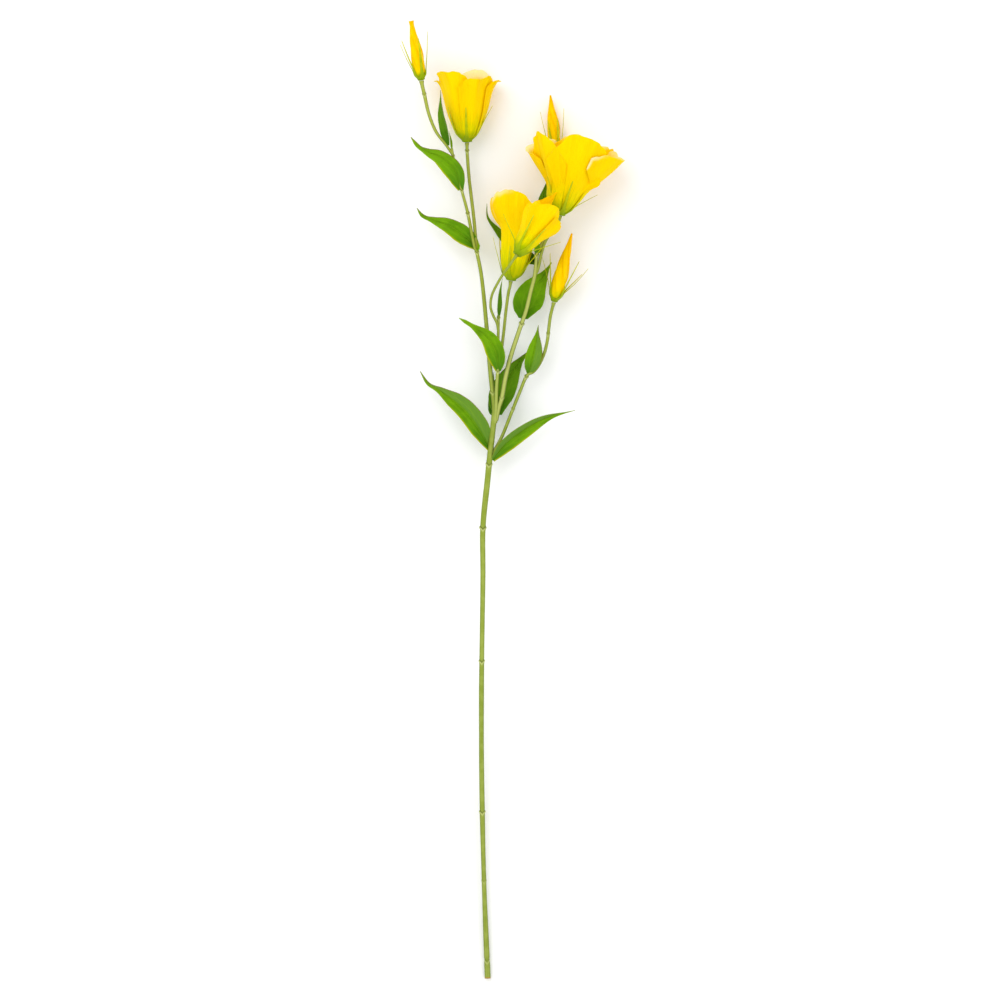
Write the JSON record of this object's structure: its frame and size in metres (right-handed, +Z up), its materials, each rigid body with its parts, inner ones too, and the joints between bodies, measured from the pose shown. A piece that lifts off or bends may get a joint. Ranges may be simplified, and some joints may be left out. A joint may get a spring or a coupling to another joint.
{
  "type": "lisianthus flower",
  "caption": "Long-stemmed yellow lisianthus spray lying on its side, with bell-shaped ruffled blooms, furled buds, strap-like sepals and pointed leaves.",
  "frame": {"origin": "middle of the spray's outline seen from above, on the surface that it lies on", "axes": "+X to the right in the picture, +Y along the stem from its cut end to the flowers, +Z up from the surface"},
  "size_m": [0.1934, 0.8244, 0.0825],
  "materials": {
    "stem": "smooth satin olive green plant stem with pale swollen joints",
    "leaf": "satin mid green leaf blade with a pale rib and a yellow-green margin",
    "petal": "soft matt bright yellow petal, green at the foot and paler at rolled rims",
    "bud": "soft matt golden yellow furled petals with orange edges",
    "sepal": "satin yellow-green calyx and sepals",
    "pistil": "matt pale green",
    "stamen": "matt golden pollen colour"
  },
  "bodies": {
    "root": {"stem": "stem", "leaf_fork_left": "leaf", "leaf_fork_right": "leaf", "leaf_middle_front": "leaf", "leaf_crotch_right": "leaf", "leaf_crotch_left": "leaf", "leaf_side": "leaf", "leaf_right_branch": "leaf", "leaf_left_lower": "leaf", "leaf_left_upper": "leaf", "leaf_left_narrow": "leaf", "leaf_middle_narrow": "leaf", "leaf_behind_left": "leaf", "leaf_behind_right": "leaf", "bract_right_node": "leaf", "bract_left_node": "leaf", "bract_left_top": "leaf", "bloom_left_calyx": "sepal", "bloom_left_corolla": "petal", "bloom_left_pistil": "pistil", "bloom_left_stamens": "stamen", "bloom_middle_calyx": "sepal", "bloom_middle_corolla": "petal", "bloom_middle_pistil": "pistil", "bloom_middle_stamens": "stamen", "bloom_front_calyx": "sepal", "bloom_front_corolla": "petal", "bloom_front_pistil": "pistil", "bloom_front_stamens": "stamen", "bloom_right_calyx": "sepal", "bloom_right_corolla": "petal", "bloom_right_pistil": "pistil", "bloom_right_stamens": "stamen", "bud_left_calyx": "sepal", "bud_left_corolla": "bud", "bud_right_calyx": "sepal", "bud_right_corolla": "bud", "bud_side_calyx": "sepal", "bud_side_corolla": "bud"}
  },
  "joints": []
}
